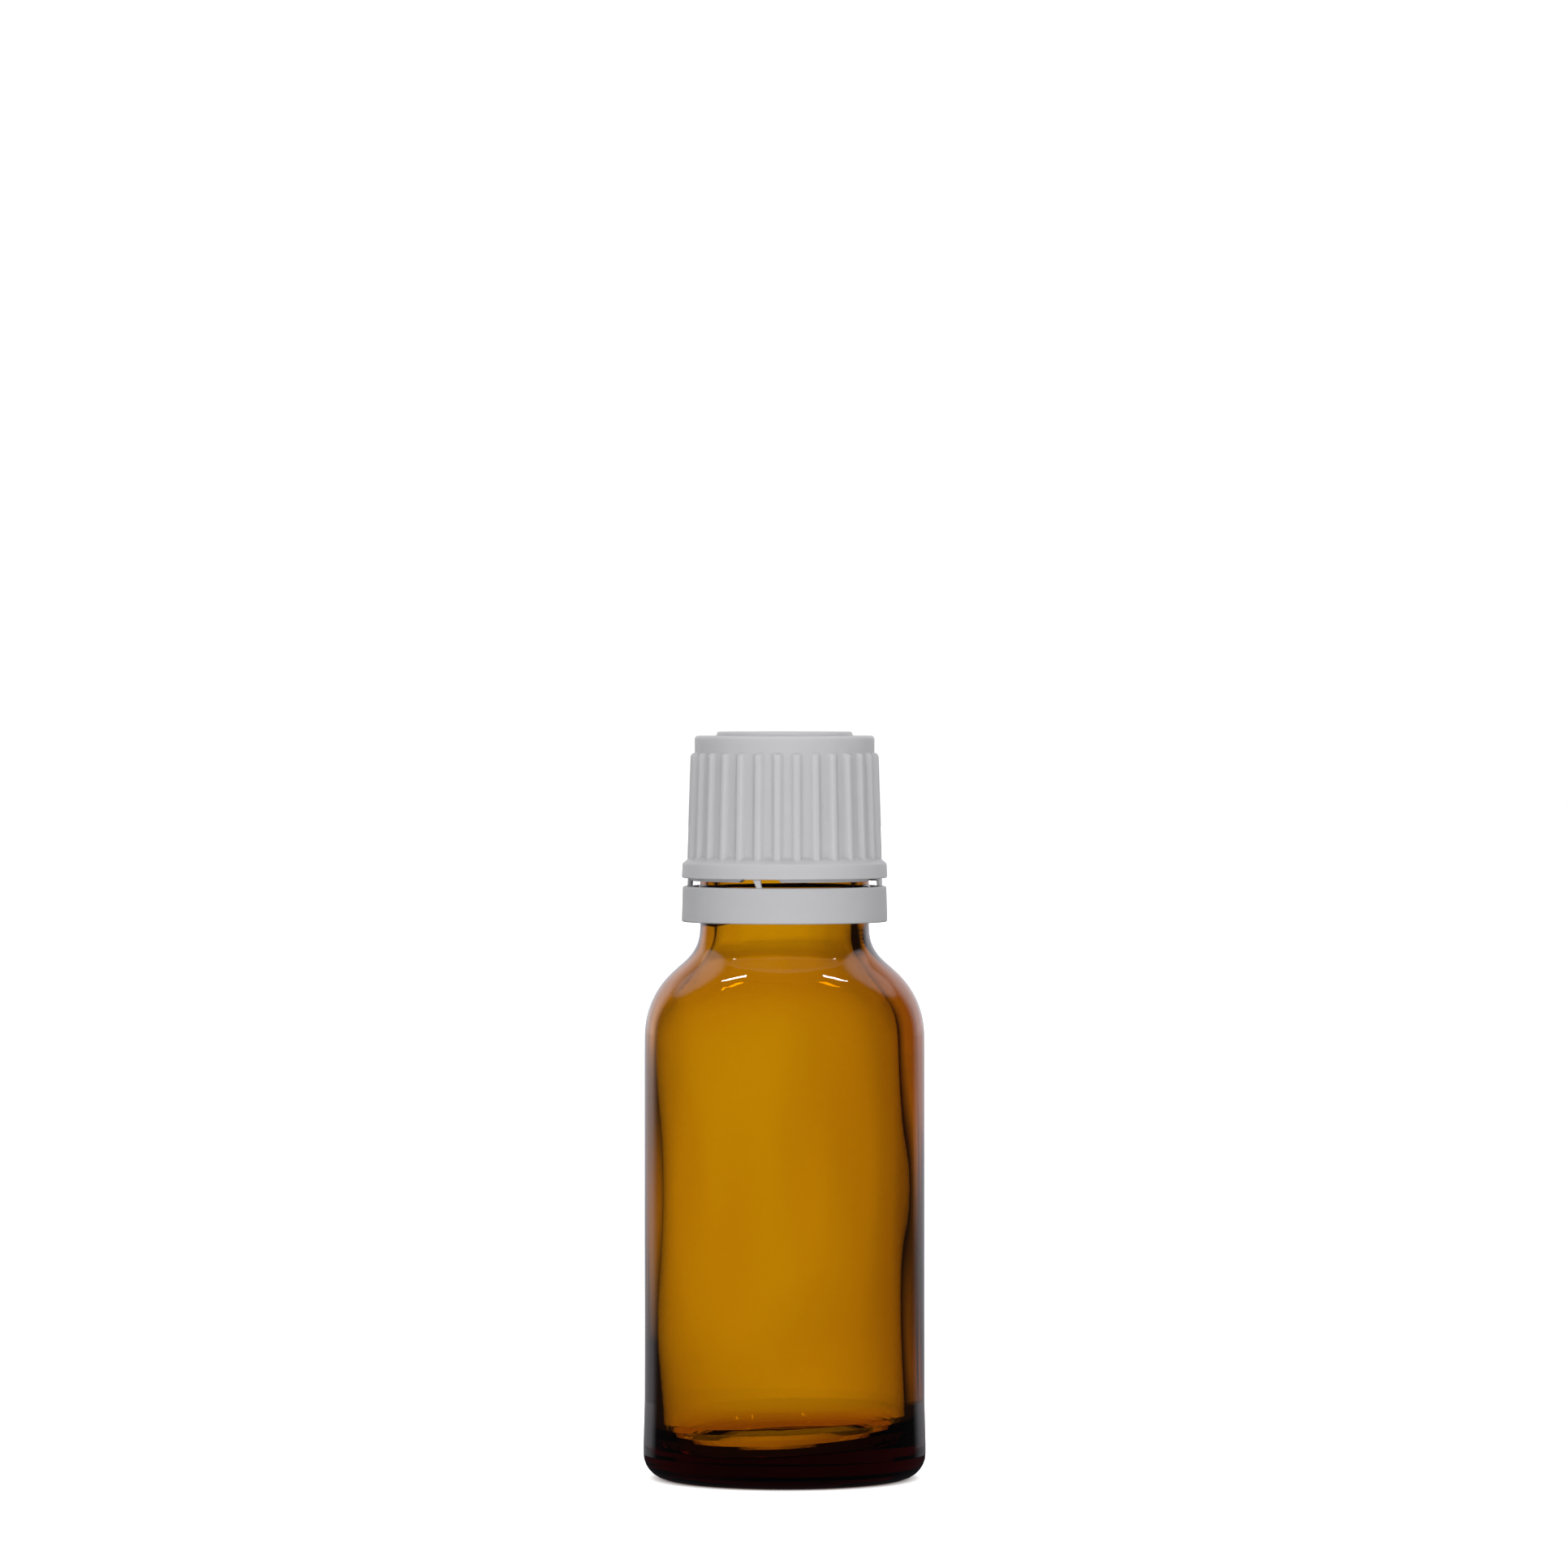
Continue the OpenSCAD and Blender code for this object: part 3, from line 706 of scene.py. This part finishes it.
def millimetres(tree):
    """The piece's own coordinates, in millimetres, so that a pattern's scale is a real size."""
    place = add_node(tree, "ShaderNodeTexCoord")
    return add_node(
        tree, "ShaderNodeVectorMath", {0: place.outputs["Object"], "Scale": 1 / MM}, operation="SCALE"
    ).outputs[0]


amber, tree = material("amber container glass, blow-moulded")
here = millimetres(tree)
ripple = add_node(
    tree, "ShaderNodeTexNoise", {"Vector": here, "Scale": 0.35, "Detail": 2.0, "Roughness": 0.5}
)
uneven = add_node(
    tree, "ShaderNodeBump", {"Height": ripple.outputs[0], "Strength": 0.01, "Distance": 0.2 * MM}
)
handling = add_node(tree, "ShaderNodeTexNoise", {"Vector": here, "Scale": 0.8, "Detail": 4.0})
rough = add_node(
    tree, "ShaderNodeMapRange",
    {0: handling.outputs[0], "From Min": 0.35, "From Max": 0.75, "To Min": 0.0, "To Max": 0.03},
)
skin = add_node(tree, "ShaderNodeBsdfPrincipled", {
    "Base Color": colour("#FFFFFF"), "Roughness": rough.outputs[0], "IOR": GLASS_IOR,
    "Transmission Weight": 1.0, "Normal": uneven.outputs[0],
})
depth = add_node(tree, "ShaderNodeVolumeAbsorption", {"Color": AMBER_PASSES, "Density": AMBER_DENSITY})
add_node(tree, "ShaderNodeOutputMaterial", {"Surface": skin.outputs[0], "Volume": depth.outputs[0]})
glass.data.materials.append(amber)

# %% [markdown]
# ### Polypropylene and polyethylene
# Moulded polypropylene is satin: it copies the fine spark-eroded grain of its mould. A little light
# goes in and comes out again, which softens the ribs' shadows.

# %% White polypropylene
PLASTIC_IOR = 1.49


def moulded_plastic(name, tint, roughness, grain_mm, grain_depth, spread, reach):
    """A satin moulding: faint mottle between two tints, mould grain in its bump, and light inside.

    spread is the share of the light that goes in and comes out again, and reach is how far, in mm.
    """
    made, tree = material(name)
    here = millimetres(tree)
    mottle = add_node(tree, "ShaderNodeTexNoise", {"Vector": here, "Scale": 0.5, "Detail": 3.0})
    shade = add_node(
        tree, "ShaderNodeMix", {0: mottle.outputs[0], "A": colour(tint[0]), "B": colour(tint[1])},
        data_type="RGBA",
    )
    grain = add_node(tree, "ShaderNodeTexNoise", {"Vector": here, "Scale": 1 / grain_mm, "Detail": 2.0})
    bump = add_node(
        tree, "ShaderNodeBump", {"Height": grain.outputs[0], "Strength": 0.5, "Distance": grain_depth * MM}
    )
    polish = add_node(tree, "ShaderNodeMapRange", {
        0: mottle.outputs[0], "From Min": 0.3, "From Max": 0.7,
        "To Min": roughness - 0.05, "To Max": roughness + 0.05,
    })
    skin = add_node(tree, "ShaderNodeBsdfPrincipled", {
        "Base Color": shade.outputs["Result"], "Roughness": polish.outputs[0],
        "IOR": PLASTIC_IOR, "Specular IOR Level": 0.3,
        "Subsurface Weight": spread, "Subsurface Radius": (1.0, 1.0, 0.95), "Subsurface Scale": reach * MM,
        "Normal": bump.outputs[0],
    })
    add_node(tree, "ShaderNodeOutputMaterial", {"Surface": skin.outputs[0]})
    return made


white_pp = moulded_plastic(
    "white polypropylene, injection-moulded satin", ("#D2D2D5", "#D6D6D8"),
    roughness=0.42, grain_mm=0.12, grain_depth=0.012, spread=0.5, reach=1.2,
)
# The ring and its webs are the same white polypropylene as the cap, but their tint is a little darker.
# That darker tint is painted shade, standing in for the lesser light that reaches the band.
band_pp_painted_shade = moulded_plastic(
    "white polypropylene, injection-moulded satin, band", ("#CACACD", "#CECED0"),
    roughness=0.42, grain_mm=0.12, grain_depth=0.012, spread=0.25, reach=0.5,
)
cap.data.materials.append(white_pp)
for piece in [ring, *webs]:
    piece.data.materials.append(band_pp_painted_shade)

# %% Natural polyethylene, and the foamed liner
natural_pe = moulded_plastic(
    "natural polyethylene, injection-moulded", ("#DDDEDC", "#E4E4E2"),
    roughness=0.36, grain_mm=0.2, grain_depth=0.01, spread=0.8, reach=1.2,
)
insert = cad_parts["dropper_insert"]
insert.data.materials.clear()
insert.data.materials.append(natural_pe)
insert.data.shade_smooth()

foam = moulded_plastic(
    "foamed polyethylene sheet, die-cut", ("#DCDCDA", "#E6E6E4"),
    roughness=0.6, grain_mm=0.25, grain_depth=0.05, spread=0.3, reach=0.5,
)
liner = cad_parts["cap_liner"]
liner.data.materials.clear()
liner.data.materials.append(foam)

# %% [markdown]
# ## Floor
#
# A plain white sheet that glows beyond the foot, so that it meets the backdrop without a horizon and
# keeps only a thread of shadow under the heel. Glass, mirrors and bounced light do not see it: for
# them the world above stands in for what lies below the vial.

# %% Floor
FLOOR_RADIUS = 4000
floor_mesh = bmesh.new()
bmesh.ops.create_circle(floor_mesh, cap_ends=True, segments=64, radius=FLOOR_RADIUS * MM)
floor_data = bpy.data.meshes.new("floor")
floor_mesh.to_mesh(floor_data)
floor_mesh.free()
floor = bpy.data.objects.new("floor", floor_data)
floor.location.z = -0.02 * MM
bpy.context.scene.collection.objects.link(floor)
paper, tree = material("white paper sweep")
here = millimetres(tree)
fibres = add_node(tree, "ShaderNodeTexNoise", {"Vector": here, "Scale": 0.05, "Detail": 4.0})
tone = add_node(
    tree, "ShaderNodeMix", {0: fibres.outputs[0], "A": colour("#EFEFEF"), "B": colour("#F4F4F4")},
    data_type="RGBA",
)
from_axis = add_node(tree, "ShaderNodeVectorMath", {0: here}, operation="LENGTH").outputs["Value"]
glow = add_node(
    tree, "ShaderNodeMapRange",
    {0: from_axis, "From Min": punt_r + FOOT_WIDTH, "From Max": glass_high.x + 0.2, "To Max": 1.0},
).outputs[0]
sheet = add_node(tree, "ShaderNodeBsdfPrincipled", {
    "Base Color": tone.outputs["Result"], "Roughness": 0.9,
    "Emission Color": colour("#FFFFFF"), "Emission Strength": glow,
})
add_node(tree, "ShaderNodeOutputMaterial", {"Surface": sheet.outputs[0]})
floor_data.materials.append(paper)
floor.visible_glossy = False
floor.visible_transmission = False
floor.visible_diffuse = False
